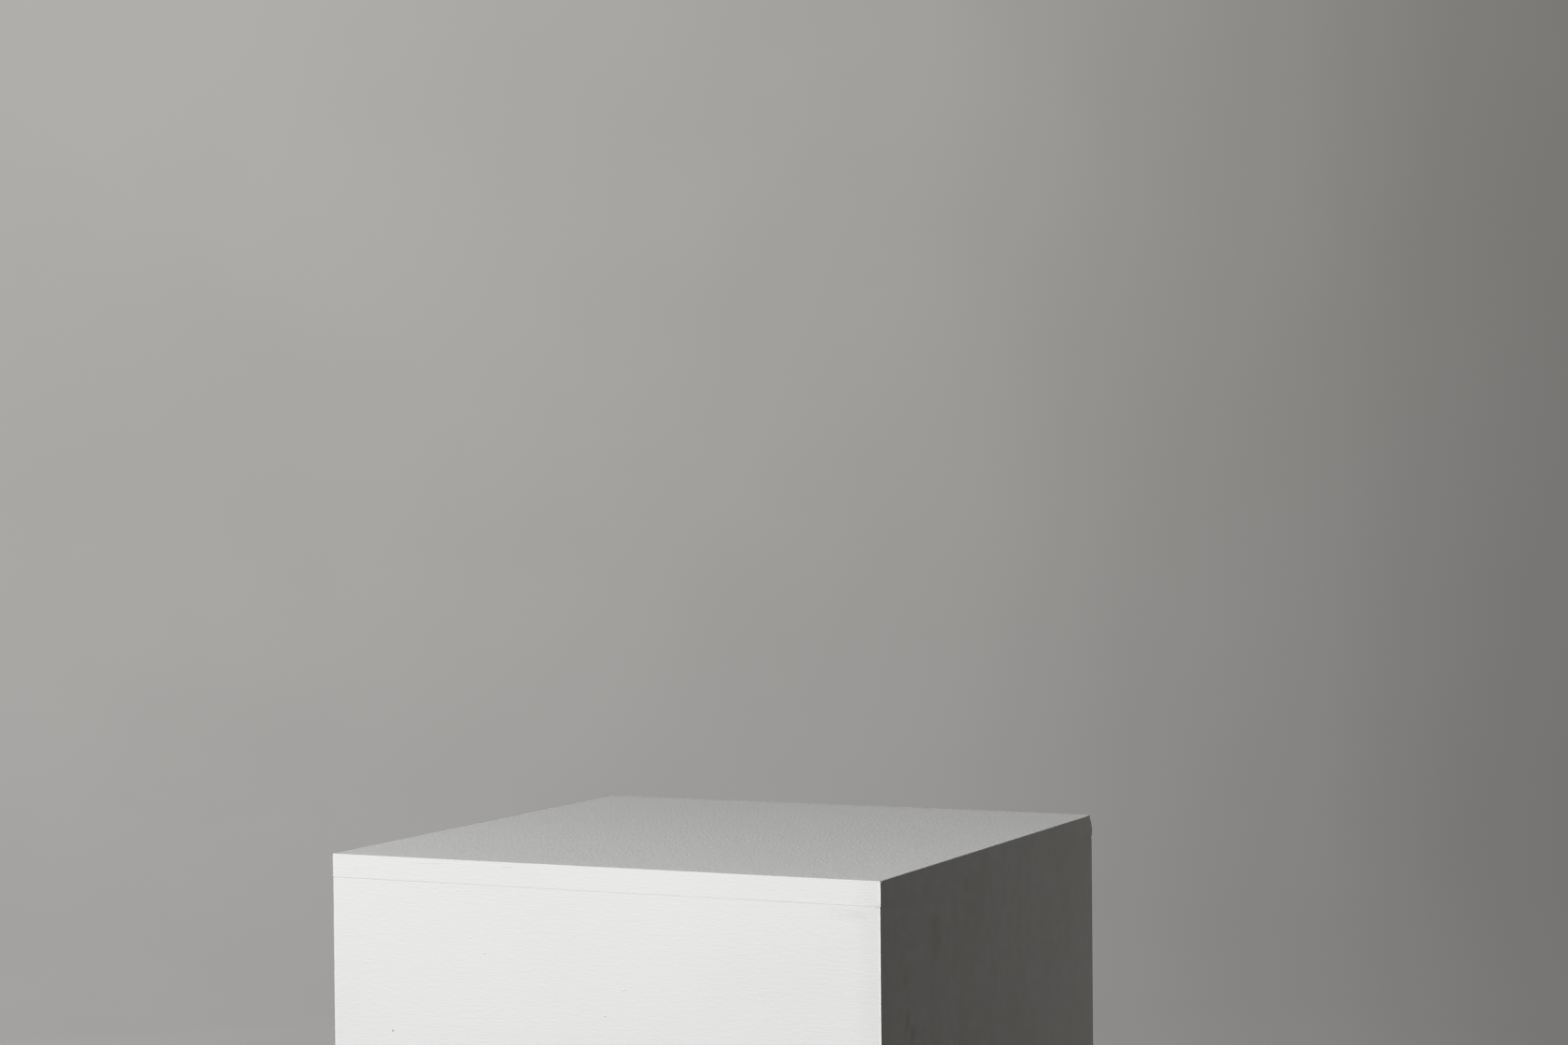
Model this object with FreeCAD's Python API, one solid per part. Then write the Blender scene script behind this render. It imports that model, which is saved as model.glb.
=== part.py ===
"""Display plinth: a tall square box of painted board that shows one object on its flat top.

Five boards make the outside. Four side panels are mitred round a square, and the top panel lies on their
upper edges and stands out past them by the thickness of a thumbnail. Softwood battens stand in the inner
corners, with short rails between them under the top and over the base board. Every screw is driven from
inside or from below, so none shows. The base board is set up inside the skirt of the side panels and holds a
tee nut over each levelling foot. A foot is a threaded stud with a hexagon, which turns in a plain round pad
on a soft sole: turning the stud raises or lowers that corner.

Frame: millimetres, +Z up, origin on the floor under the middle of the plinth, the front panel facing -Y.
"""
import FreeCAD
import Part

import math
import os

# Outside
SIDE = 450.0           # width and depth of the top panel
TOP_PROUD = 0.4        # the top panel's edges stand out past the side panels by this
HEIGHT = 1000.0        # floor to display surface with the feet as set
BOARD = 18.0           # thickness of every board
ARRIS = 1.0            # sanded round on the outer edges
FLOOR_GAP = 8.0        # floor to the lower edge of the side panels
BASE_Z = 36.0          # floor to the underside of the base board

# Softwood battens
BATTEN = 34.0          # planed square section
BATTEN_ROUND = 1.5     # eased long edges

# Wood screws, all of one size
SCREW_LENGTH = 45.0
SCREW_R = 2.0
SCREW_HEAD_R = 4.0
SCREW_TIP = 6.0
RECESS_ACROSS = 4.4    # cross recess in the head: across, slot width and depth
RECESS_SLOT = 0.9
RECESS_DEPTH = 1.4
RAIL_CLAMP_AT = (-115.0, 0.0, 115.0)     # upright screws along a rail
RAIL_SIDE_AT = (-58.0, 58.0)             # level screws along a rail
POST_SCREWS = 5                          # level screws up each batten, into each of its two panels
POST_FIRST = 140.0                       # lowest of them above the base board
POST_LAST = 120.0                        # highest of them below the top panel
POST_STAGGER = 40.0                      # one panel's row above the other's

# Beech biscuits in the mitres
BISCUIT_LENGTH = 56.0
BISCUIT_WIDTH = 23.0
BISCUIT_THICK = 4.0
BISCUIT_END = 5.0      # width left at each blunt end
BISCUIT_INSET = 5.5    # inner corner to the biscuit's middle, along X and along Y
BISCUITS = 5           # in each mitre
BISCUIT_MARGIN = 90.0  # end of the panel to the nearest biscuit's middle

# Tee nuts, for M10
NUT_BORE_R = 5.05
NUT_BARREL_R = 6.0
NUT_BARREL = 13.0
NUT_FLANGE_R = 12.5
NUT_FLANGE = 1.5
PRONGS = 4
PRONG_AT_R = 10.2
PRONG_WIDTH = 3.6
PRONG_THICK = 1.3
PRONG_HEIGHT = 7.5

# Levelling feet
FOOT_INSET = 40.0      # outer face to the foot's axis, both ways
SOLE_R = 16.0
SOLE = 3.0
SOLE_SUNK = 1.0        # depth of the sole that sits in the pad
SOLE_EASE = 0.6
PAD_R = 18.0
PAD_RIM = 4.0          # height of the pad's straight rim
PAD_EASE = 0.5         # chamfer round its lower edge
PAD_NECK_R = 10.5
PAD_LAND = 1.5         # straight height of the neck above the sloping shoulder
PAD_TOP_Z = 14.0
SWIVEL_Z = 5.0         # underside of the stud's collar
COLLAR_R = 5.5
COLLAR = 3.0
NECK_R = 4.0
RUNNING = 0.08         # radial and axial clearance of the stud in its pad
HEX_Z = 19.0           # its top is half a millimetre short of the tee nut when the panels reach the floor
HEX_FLATS = 17.0
HEX = 7.0
HEX_CHAMFER = 0.6
STUD_R = 5.0
STUD = 42.0            # threaded length above the hexagon
STUD_CHAMFER = 1.0
STUD_HOLE_R = 6.5      # clearance hole up into the corner batten
STUD_HOLE_TOP = 80.0

# What follows from those
TOP_HALF = SIDE / 2
HALF = TOP_HALF - TOP_PROUD           # outer face of a side panel
INNER = HALF - BOARD                  # inner face of a side panel
POST_MID = INNER - BATTEN / 2         # middle line of a batten against a panel
POST_INNER = INNER - BATTEN           # inner face of a batten
PANEL_TOP = HEIGHT - BOARD
BASE_TOP = BASE_Z + BOARD
RAIL_LENGTH = 2 * POST_INNER
FOOT_AT = TOP_HALF - FOOT_INSET

ORIGIN = FreeCAD.Vector(0, 0, 0)
UP = FreeCAD.Vector(0, 0, 1)
ALONG_X = FreeCAD.Vector(1, 0, 0)
FULL_TURN = 360.0
SAME = 1e-6            # points nearer than this are the same
FACINGS = {"front": 0.0, "right": 90.0, "back": 180.0, "left": 270.0}
CORNERS = {"front_left": (-1, -1), "front_right": (1, -1), "back_right": (1, 1), "back_left": (-1, 1)}


def turned(shape, degrees):
    """A copy of shape turned about the plinth's middle line."""
    copy = shape.copy()
    copy.rotate(ORIGIN, UP, degrees)
    return copy


def moved(shape, x, y, z):
    """A copy of shape moved by x, y, z."""
    copy = shape.copy()
    copy.translate(FreeCAD.Vector(x, y, z))
    return copy


def outline(points):
    """A closed face in the XZ plane through (x, z) points."""
    corners = [FreeCAD.Vector(x, 0, z) for x, z in points]
    return Part.Face(Part.makePolygon(corners + corners[:1]))


def spun(points):
    """The solid swept by (radius, height) points about Z."""
    return outline(points).revolve(ORIGIN, UP, FULL_TURN)


def box(x0, x1, y0, y1, z0, z1):
    return Part.makeBox(x1 - x0, y1 - y0, z1 - z0, FreeCAD.Vector(x0, y0, z0))


def edges_where(shape, test):
    """The edges of shape whose both ends and middle pass test."""
    found = []
    for edge in shape.Edges:
        points = [vertex.Point for vertex in edge.Vertexes] + [edge.CenterOfMass]
        if all(test(point) for point in points):
            found.append(edge)
    return found


def at_corner(point, half):
    """Whether a point lies on an upright edge of a square box, half wide on each side of the middle."""
    return abs(abs(point.x) - half) < SAME and abs(abs(point.y) - half) < SAME


def sanded(block, half, z):
    """A square box with its upright edges and its edges at height z rounded."""
    outer = edges_where(block, lambda point: at_corner(point, half))
    outer += edges_where(block, lambda point: abs(point.z - z) < SAME)
    return block.makeFillet(ARRIS, outer)


# Screws -------------------------------------------------------------------------------------------

def screw_blank():
    """A countersunk wood screw with no recess: head top at the origin, tip up +Z."""
    return spun([(0, 0), (SCREW_HEAD_R, 0), (SCREW_R, SCREW_HEAD_R - SCREW_R),
                 (SCREW_R, SCREW_LENGTH - SCREW_TIP), (0, SCREW_LENGTH)])


def cross_recess():
    half_across, half_slot = RECESS_ACROSS / 2, RECESS_SLOT / 2
    slot = box(-half_across, half_across, -half_slot, half_slot, -1, RECESS_DEPTH)
    return slot.fuse(turned(slot, 90))


class Screws:
    """The screws of one kind: where they are, as blanks to cut holes with and as finished solids."""

    def __init__(self):
        self.blank = screw_blank()
        self.finished = self.blank.cut(cross_recess())
        self.places = []

    def add(self, x, y, z, direction=UP, facing=0.0):
        """A screw with its head at x, y, z that points along direction, then turned with its panel."""
        turn = FreeCAD.Rotation(UP, direction)
        place = FreeCAD.Placement(FreeCAD.Vector(x, y, z), turn)
        swing = FreeCAD.Placement(ORIGIN, FreeCAD.Rotation(UP, facing))
        self.places.append(swing.multiply(place))

    def made(self, shape):
        copies = []
        for place in self.places:
            copy = shape.copy()
            copy.Placement = place
            copies.append(copy)
        return copies

    def holes(self):
        return self.made(self.blank)

    def solids(self):
        return self.made(self.finished)


def top_screws():
    """Up through the top rails into the top panel."""
    screws = Screws()
    for facing in FACINGS.values():
        for along in RAIL_CLAMP_AT:
            screws.add(along, -POST_MID, PANEL_TOP - BATTEN, UP, facing)
    return screws


def base_screws():
    """Up through the base board into the base rails."""
    screws = Screws()
    for facing in FACINGS.values():
        for along in RAIL_CLAMP_AT:
            screws.add(along, -POST_MID, BASE_Z, UP, facing)
    return screws


def rail_screws():
    """Level, out through the top and base rails into the panels."""
    screws = Screws()
    out = FreeCAD.Vector(0, -1, 0)
    for facing in FACINGS.values():
        for z in (PANEL_TOP - BATTEN / 2, BASE_TOP + BATTEN / 2):
            for along in RAIL_SIDE_AT:
                screws.add(along, -POST_INNER, z, out, facing)
    return screws


def post_screws():
    """Level, out through the corner battens into both panels, one panel's row above the other's."""
    screws = Screws()
    low, high = BASE_TOP + POST_FIRST, PANEL_TOP - POST_LAST - POST_STAGGER
    step = (high - low) / (POST_SCREWS - 1)
    for facing in FACINGS.values():
        for i in range(POST_SCREWS):
            z = low + i * step
            screws.add(POST_MID, -POST_INNER, z, FreeCAD.Vector(0, -1, 0), facing)
            screws.add(POST_INNER, -POST_MID, z + POST_STAGGER, ALONG_X, facing)
    return screws


# Biscuits -----------------------------------------------------------------------------------------

def biscuit():
    """One biscuit at the origin: long way up Z, width across X, thickness along Y."""
    half_long, half_wide, half_end = BISCUIT_LENGTH / 2, BISCUIT_WIDTH / 2, BISCUIT_END / 2
    ends = [FreeCAD.Vector(x, 0, z) for x, z in (
        (half_end, -half_long), (half_end, half_long), (-half_end, half_long), (-half_end, -half_long))]
    edges = [
        Part.Arc(ends[0], FreeCAD.Vector(half_wide, 0, 0), ends[1]).toShape(),
        Part.LineSegment(ends[1], ends[2]).toShape(),
        Part.Arc(ends[2], FreeCAD.Vector(-half_wide, 0, 0), ends[3]).toShape(),
        Part.LineSegment(ends[3], ends[0]).toShape()]
    flat = Part.Face(Part.Wire(edges))
    return moved(flat.extrude(FreeCAD.Vector(0, BISCUIT_THICK, 0)), 0, -BISCUIT_THICK / 2, 0)


def mitre_biscuits():
    """Every biscuit, each lying square across the mitre at its corner."""
    low, high = FLOOR_GAP + BISCUIT_MARGIN, PANEL_TOP - BISCUIT_MARGIN
    step = (high - low) / (BISCUITS - 1)
    middle = INNER + BISCUIT_INSET
    across = turned(biscuit(), -45)
    return [turned(moved(across, middle, middle, low + i * step), facing)
            for facing in FACINGS.values() for i in range(BISCUITS)]


# Boards -------------------------------------------------------------------------------------------

def side_panel(facing, cutters):
    """One side panel: its mitred wedge of the sanded box, less its biscuit slots and screw holes."""
    sleeve = sanded(box(-HALF, HALF, -HALF, HALF, FLOOR_GAP, PANEL_TOP), HALF, FLOOR_GAP)
    past = HALF + BOARD
    corners = [(-INNER, -INNER), (INNER, -INNER), (past, -past), (-past, -past)]
    points = [FreeCAD.Vector(x, y, 0) for x, y in corners]
    wedge = Part.Face(Part.makePolygon(points + points[:1])).extrude(FreeCAD.Vector(0, 0, HEIGHT))
    return turned(sleeve.common(wedge), facing).cut(cutters)


def top_panel(cutters):
    """The board that the exhibit stands on, rounded at its corners and along its upper edges."""
    board = box(-TOP_HALF, TOP_HALF, -TOP_HALF, TOP_HALF, PANEL_TOP, HEIGHT)
    return sanded(board, TOP_HALF, HEIGHT).cut(cutters)


def base_board(cutters):
    """The board inside the skirt, under the battens, which the tee nuts push up on."""
    return box(-INNER, INNER, -INNER, INNER, BASE_Z, BASE_TOP).cut(cutters)


# Battens ------------------------------------------------------------------------------------------

def eased(stick, axis):
    """A square stick with its four long edges rounded."""
    long_edges = [edge for edge in stick.Edges
                  if edge.tangentAt(edge.FirstParameter).cross(axis).Length < SAME]
    return stick.makeFillet(BATTEN_ROUND, long_edges)


def corner_batten(x_sign, y_sign, cutters):
    """An upright batten in an inner corner, bored at its foot to clear the stud."""
    stick = eased(box(POST_INNER, INNER, POST_INNER, INNER, BASE_TOP, PANEL_TOP), UP)
    middle = POST_INNER + BATTEN / 2
    stick = moved(stick, -middle, -middle, 0)
    stick = moved(stick, x_sign * middle, y_sign * middle, 0)
    hole = Part.makeCylinder(STUD_HOLE_R, STUD_HOLE_TOP - BASE_TOP,
                             FreeCAD.Vector(x_sign * FOOT_AT, y_sign * FOOT_AT, BASE_TOP))
    return stick.cut([hole] + cutters)


def rail(facing, z, cutters):
    """A level batten between two corner battens, with its lower face at z."""
    stick = box(-RAIL_LENGTH / 2, RAIL_LENGTH / 2, -INNER, -POST_INNER, z, z + BATTEN)
    return turned(eased(stick, ALONG_X), facing).cut(cutters)


# Feet ---------------------------------------------------------------------------------------------

def prong():
    """One pointed prong of a tee nut, standing on the flange at its place along +X."""
    half = PRONG_WIDTH / 2
    points = [(0, -half, 0), (0, half, 0), (0, 0, PRONG_HEIGHT)]
    corners = [FreeCAD.Vector(*point) for point in points]
    spike = Part.Face(Part.makePolygon(corners + corners[:1])).extrude(FreeCAD.Vector(PRONG_THICK, 0, 0))
    return moved(spike, PRONG_AT_R - PRONG_THICK / 2, 0, 0)


def tee_nut():
    """A pronged tee nut: flange below the origin, barrel and prongs above it."""
    body = spun([(NUT_BORE_R, -NUT_FLANGE), (NUT_FLANGE_R, -NUT_FLANGE), (NUT_FLANGE_R, 0),
                 (NUT_BARREL_R, 0), (NUT_BARREL_R, NUT_BARREL), (NUT_BORE_R, NUT_BARREL)])
    prongs = [turned(prong(), i * FULL_TURN / PRONGS) for i in range(PRONGS)]
    return body.fuse(prongs).removeSplitter()


def foot_sole():
    return spun([(0, 0), (SOLE_R - SOLE_EASE, 0), (SOLE_R, SOLE_EASE), (SOLE_R, SOLE), (0, SOLE)])


def foot_pad():
    """The pad that the stud turns in: a rim, a sloping shoulder and a socket for the stud's collar."""
    low = SOLE - SOLE_SUNK
    socket_r, socket_top = COLLAR_R + RUNNING, SWIVEL_Z + COLLAR + RUNNING
    throat_r, floor_z = NECK_R + RUNNING, SWIVEL_Z - RUNNING
    return spun([(0, SOLE), (SOLE_R, SOLE), (SOLE_R, low), (PAD_R - PAD_EASE, low), (PAD_R, low + PAD_EASE),
                 (PAD_R, low + PAD_RIM), (PAD_NECK_R, PAD_TOP_Z - PAD_LAND), (PAD_NECK_R, PAD_TOP_Z),
                 (throat_r, PAD_TOP_Z), (throat_r, socket_top), (socket_r, socket_top), (socket_r, floor_z),
                 (0, floor_z)])


def hexagon():
    """The spanner hexagon, its corners chamfered top and bottom."""
    corner_r = HEX_FLATS / 2 / math.cos(math.radians(30))
    points = [FreeCAD.Vector(corner_r * math.cos(math.radians(60 * i)),
                             corner_r * math.sin(math.radians(60 * i)), HEX_Z) for i in range(6)]
    prism = Part.Face(Part.makePolygon(points + points[:1])).extrude(FreeCAD.Vector(0, 0, HEX))
    flat_r, top = HEX_FLATS / 2, HEX_Z + HEX
    return prism.common(spun([(0, HEX_Z), (flat_r, HEX_Z), (corner_r, HEX_Z + HEX_CHAMFER),
                              (corner_r, top - HEX_CHAMFER), (flat_r, top), (0, top)]))


def foot_stud():
    """The stud: a collar that turns in the pad, a neck, a hexagon and the threaded length, left plain."""
    inside_hexagon = HEX_Z + HEX / 2
    top = HEX_Z + HEX + STUD
    collar_top = SWIVEL_Z + COLLAR
    turned_part = spun([(0, SWIVEL_Z), (COLLAR_R, SWIVEL_Z), (COLLAR_R, collar_top), (NECK_R, collar_top),
                        (NECK_R, inside_hexagon), (STUD_R, inside_hexagon), (STUD_R, top - STUD_CHAMFER),
                        (STUD_R - STUD_CHAMFER, top), (0, top)])
    return turned_part.fuse(hexagon()).removeSplitter()


# The whole plinth ---------------------------------------------------------------------------------

def build():
    """Every node's name and shape."""
    nodes = {}
    top, base, rails, posts = top_screws(), base_screws(), rail_screws(), post_screws()
    biscuits = mitre_biscuits()
    nuts = [moved(tee_nut(), x * FOOT_AT, y * FOOT_AT, BASE_Z) for x, y in CORNERS.values()]
    drillings = [Part.makeCylinder(NUT_BARREL_R, BOARD, FreeCAD.Vector(x * FOOT_AT, y * FOOT_AT, BASE_Z))
                 for x, y in CORNERS.values()]

    nodes["top_panel"] = top_panel(top.holes())
    nodes["base_board"] = base_board(base.holes() + nuts + drillings)
    for name, facing in FACINGS.items():
        nodes[name + "_panel"] = side_panel(facing, biscuits + rails.holes() + posts.holes())
        nodes["top_rail_" + name] = rail(facing, PANEL_TOP - BATTEN, top.holes() + rails.holes())
        nodes["base_rail_" + name] = rail(facing, BASE_TOP, base.holes() + rails.holes())
    for name, (x, y) in CORNERS.items():
        nodes["corner_batten_" + name] = corner_batten(x, y, posts.holes())

    nodes["mitre_biscuits"] = Part.makeCompound(biscuits)
    nodes["top_screws"] = Part.makeCompound(top.solids())
    nodes["base_screws"] = Part.makeCompound(base.solids())
    nodes["rail_screws"] = Part.makeCompound(rails.solids())
    nodes["post_screws"] = Part.makeCompound(posts.solids())
    nodes["tee_nuts"] = Part.makeCompound(nuts)
    for name, (x, y) in CORNERS.items():
        for piece, shape in (("sole", foot_sole()), ("pad", foot_pad()), ("stud", foot_stud())):
            nodes["foot_" + piece + "_" + name] = moved(shape, x * FOOT_AT, y * FOOT_AT, 0)
    return nodes


def main():
    os.makedirs("parts", exist_ok=True)
    for name, shape in build().items():
        broken = [solid for solid in shape.Solids if not solid.isValid() or solid.Volume <= 0]
        if broken or not shape.Solids:
            raise ValueError(name + " is not a set of sound solids")
        shape.exportStep(os.path.join("parts", name + ".step"))
        print(name, len(shape.Solids), "solids", round(shape.Volume / 1000, 2), "cm3")


main()
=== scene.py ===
"""Looks of the display plinth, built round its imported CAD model.

The five painted boards are made again here with the surface that paint and handling give them. The studs,
pads, soles and wood screws are made again with threads and moulded detail. Every other piece keeps its CAD
shape and gets a material of its own. Lengths are in metres.
"""
import math

import bmesh
import bpy
import numpy as np
from mathutils import Matrix, Vector, noise


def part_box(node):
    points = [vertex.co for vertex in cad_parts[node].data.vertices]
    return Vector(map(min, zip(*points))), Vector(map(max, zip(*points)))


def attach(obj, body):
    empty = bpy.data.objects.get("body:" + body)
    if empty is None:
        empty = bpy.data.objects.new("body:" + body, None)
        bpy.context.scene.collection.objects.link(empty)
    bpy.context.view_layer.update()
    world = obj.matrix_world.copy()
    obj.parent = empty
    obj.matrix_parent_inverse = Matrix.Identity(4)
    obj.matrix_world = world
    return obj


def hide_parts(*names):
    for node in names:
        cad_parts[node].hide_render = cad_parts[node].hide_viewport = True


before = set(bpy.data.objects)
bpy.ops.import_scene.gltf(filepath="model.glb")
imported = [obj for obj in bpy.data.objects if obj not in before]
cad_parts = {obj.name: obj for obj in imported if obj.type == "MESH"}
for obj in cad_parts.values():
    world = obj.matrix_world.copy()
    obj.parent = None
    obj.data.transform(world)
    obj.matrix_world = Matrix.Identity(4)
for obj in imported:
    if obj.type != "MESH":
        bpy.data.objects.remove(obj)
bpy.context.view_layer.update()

MM = 0.001
FACINGS = {"front": 0, "right": 90, "back": 180, "left": 270}
CORNERS = ("front_left", "front_right", "back_right", "back_left")

# What the CAD model says
PANEL_LOW, PANEL_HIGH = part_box("front_panel")
TOP_LOW, TOP_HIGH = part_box("top_panel")
HALF = -PANEL_LOW.y            # outer face of a side panel
INNER = -PANEL_HIGH.y          # inner face of a side panel
SKIRT_Z = PANEL_LOW.z          # lower edge of the side panels
JOINT_Z = TOP_LOW.z            # where the top panel lies on the side panels
TOP_Z = TOP_HIGH.z
TOP_HALF = TOP_HIGH.x

# Camera, from the middle of the plinth's top
CAMERA_AT = Vector((1.0577, -2.1880, 0.2801))
CAMERA_TURN = 24.73            # degrees round to the right of square-on
CAMERA_DIP = 0.81              # degrees below level
CAMERA_ROLL = -0.50
LENS_MM = 70.55
SENSOR_MM = 36.0

# Paint and handling
ARRIS = 0.55 * MM              # usual rounding of a sanded edge
ARRIS_MOST = 2.0 * MM          # the part of a face that an edge's rounding can take up
ARC_STEPS = 12                 # steps over half of a rounded edge
SHARP = 32                     # edges that turn more than this many degrees are shaded as edges
GRID = 4.0 * MM                # mesh spacing across a board
GRID_UP = 9.0 * MM             # and up a side panel
SKIN = 0.06 * MM               # room left under the CAD box for nibs and brush ridges
TOP_BACK_LEFT = 0.28 * MM      # the top panel stands out by this much less on the left than on the right
TOP_BACK_FRONT = 0.2 * MM      # and by this much less at the front
JOINT_CHAMFER = 0.45 * MM      # height of the worn lip on each side of the joint under the top panel
JOINT_DEPTH = 0.19 * MM        # and how far it is worn in where the crack is plainest


# Camera, light and floor --------------------------------------------------------------------------

def make_camera():
    data = bpy.data.cameras.new("camera")
    data.lens, data.sensor_width = LENS_MM, SENSOR_MM
    camera = bpy.data.objects.new("camera", data)
    bpy.context.scene.collection.objects.link(camera)
    turn, dip, roll = (math.radians(a) for a in (CAMERA_TURN, CAMERA_DIP, CAMERA_ROLL))
    ahead = Vector((-math.sin(turn), math.cos(turn), 0))
    right = Vector((math.cos(turn), math.sin(turn), 0))
    up = Vector((0, 0, 1))
    look = ahead * math.cos(dip) - up * math.sin(dip)
    above = up * math.cos(dip) + ahead * math.sin(dip)
    x = right * math.cos(roll) + above * math.sin(roll)
    y = above * math.cos(roll) - right * math.sin(roll)
    turned = Matrix((x, y, -look)).transposed().to_4x4()
    camera.matrix_world = Matrix.Translation(Vector((0, 0, TOP_Z)) + CAMERA_AT) @ turned
    bpy.context.scene.camera = camera


def area_light(name, at, aim, size, power, colour=(1, 1, 1)):
    """A soft square light at a point, aimed at another, that the camera doesn't see."""
    data = bpy.data.lights.new(name, "AREA")
    data.shape, data.size, data.energy, data.color = "SQUARE", size, power, colour
    light = bpy.data.objects.new(name, data)
    bpy.context.scene.collection.objects.link(light)
    light.location = at
    light.rotation_euler = (Vector(aim) - Vector(at)).to_track_quat("-Z", "Y").to_euler()
    light.visible_camera = False


def from_top(azimuth, elevation, distance):
    """A point seen from the middle of the top: azimuth in degrees from the front towards the right."""
    a, e = math.radians(azimuth), math.radians(elevation)
    way = Vector((math.sin(a) * math.cos(e), -math.cos(a) * math.cos(e), math.sin(e)))
    return Vector((0, 0, TOP_Z)) + way * distance


def make_lights():
    area_light("key", from_top(-9, 27.3, 4.1), (0, 0, TOP_Z - 0.1), 1.2, 161)
    area_light("side", from_top(-90, 35, 1.4), (-0.2, 0, TOP_Z), 0.6, 1.4)
    area_light("fill", from_top(140, -4, 1.6), (HALF, HALF, TOP_Z - 0.2), 0.9, 1.3, (1.0, 0.98, 0.93))
    # Far off and lower than the top, so that it reaches only the two faces turned away from the main view
    area_light("rear", from_top(-133, -1.4, 20.0), (0, 0, TOP_Z / 2), 0.8, 1850)
    world = bpy.data.worlds.new("room")
    bpy.context.scene.world = world
    world.use_nodes = True
    back = world.node_tree.nodes["Background"]
    back.inputs["Color"].default_value = (1.0, 0.985, 0.93, 1)
    back.inputs["Strength"].default_value = 0.055


# Node materials -----------------------------------------------------------------------------------

class Nodes:
    """A material being wired up. Every method gives back a socket."""

    def __init__(self, name):
        self.material = bpy.data.materials.new(name)
        self.material.use_nodes = True
        self.tree = self.material.node_tree
        self.shader = self.tree.nodes["Principled BSDF"]
        self.place = self.new("ShaderNodeTexCoord").outputs["Object"]

    def new(self, kind, **settings):
        node = self.tree.nodes.new(kind)
        for key, value in settings.items():
            setattr(node, key, value)
        return node

    def put(self, socket, value):
        if isinstance(value, bpy.types.NodeSocket):
            self.tree.links.new(value, socket)
        else:
            socket.default_value = value

    def maths(self, operation, *values):
        node = self.new("ShaderNodeMath", operation=operation)
        for socket, value in zip(node.inputs, values):
            self.put(socket, value)
        return node.outputs[0]

    def plus(self, first, second):
        return self.maths("ADD", first, second)

    def minus(self, first, second):
        return self.maths("SUBTRACT", first, second)

    def times(self, first, second):
        return self.maths("MULTIPLY", first, second)

    def vector(self, operation, *values):
        node = self.new("ShaderNodeVectorMath", operation=operation)
        for socket, value in zip(node.inputs, values):
            self.put(socket, value)
        return node.outputs["Value" if operation in ("LENGTH", "DOT_PRODUCT", "DISTANCE") else "Vector"]

    def axes(self):
        """The object's own coordinates as three sockets."""
        node = self.new("ShaderNodeSeparateXYZ")
        self.put(node.inputs[0], self.place)
        return node.outputs

    def stretched(self, scale, shift=(0, 0, 0)):
        """The object's own coordinates, shifted and then scaled."""
        return self.vector("MULTIPLY", self.vector("ADD", self.place, shift), scale)

    def noise(self, scale, shift=(0, 0, 0), detail=2.0, rough=0.5, warp=0.0):
        """Noise from 0 to 1 with so many lumps to the metre, one number or one for each axis."""
        scale = (scale,) * 3 if isinstance(scale, (int, float)) else scale
        node = self.new("ShaderNodeTexNoise")
        self.put(node.inputs["Vector"], self.stretched(scale, shift))
        for key, value in (("Scale", 1.0), ("Detail", detail), ("Roughness", rough), ("Distortion", warp)):
            node.inputs[key].default_value = value
        return node.outputs["Fac"]

    def ramp(self, value, low, high, to_low=0.0, to_high=1.0):
        """Smoothly from to_low at low to to_high at high."""
        node = self.new("ShaderNodeMapRange", interpolation_type="SMOOTHSTEP")
        for socket, number in zip(node.inputs, (value, low, high, to_low, to_high)):
            self.put(socket, number)
        return node.outputs["Result"]

    def mix(self, share, first, second, blend="MIX"):
        node = self.new("ShaderNodeMix", data_type="RGBA", blend_type=blend)
        colours = [socket for socket in node.inputs if socket.type == "RGBA"]
        self.put(node.inputs["Factor"], share)
        self.put(colours[0], first)
        self.put(colours[1], second)
        return next(socket for socket in node.outputs if socket.type == "RGBA")

    def bump(self, height, depth, normal=None):
        """A normal bent by a height from 0 to 1 that stands for so many metres."""
        node = self.new("ShaderNodeBump")
        self.put(node.inputs["Height"], height)
        node.inputs["Distance"].default_value = depth
        if normal:
            self.put(node.inputs["Normal"], normal)
        return node.outputs["Normal"]

    def finish(self, colour, rough, normal, metal=0.0, specular=0.5):
        self.put(self.shader.inputs["Base Color"], colour)
        self.put(self.shader.inputs["Roughness"], rough)
        self.put(self.shader.inputs["Normal"], normal)
        self.shader.inputs["Metallic"].default_value = metal
        self.shader.inputs["Specular IOR Level"].default_value = specular
        return self.material


def rgb(r, g, b):
    return (r, g, b, 1.0)


def front_mark(x, below, wide, tall):
    """A spot on the front face: its centre and half sizes in metres, from mm across and below the top."""
    return (x * MM, -HALF, TOP_Z - below * MM), (wide * MM, 4 * MM, tall * MM)


def right_mark(y, below, wide, tall):
    return (HALF, y * MM, TOP_Z - below * MM), (4 * MM, wide * MM, tall * MM)


def back_mark(x, below, wide, tall):
    return (x * MM, HALF, TOP_Z - below * MM), (wide * MM, 4 * MM, tall * MM)


def left_mark(y, below, wide, tall):
    return (-HALF, y * MM, TOP_Z - below * MM), (4 * MM, wide * MM, tall * MM)


def top_mark(x, y, size):
    return (x * MM, y * MM, TOP_Z), (size * MM, size * MM, 2 * MM)


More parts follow.
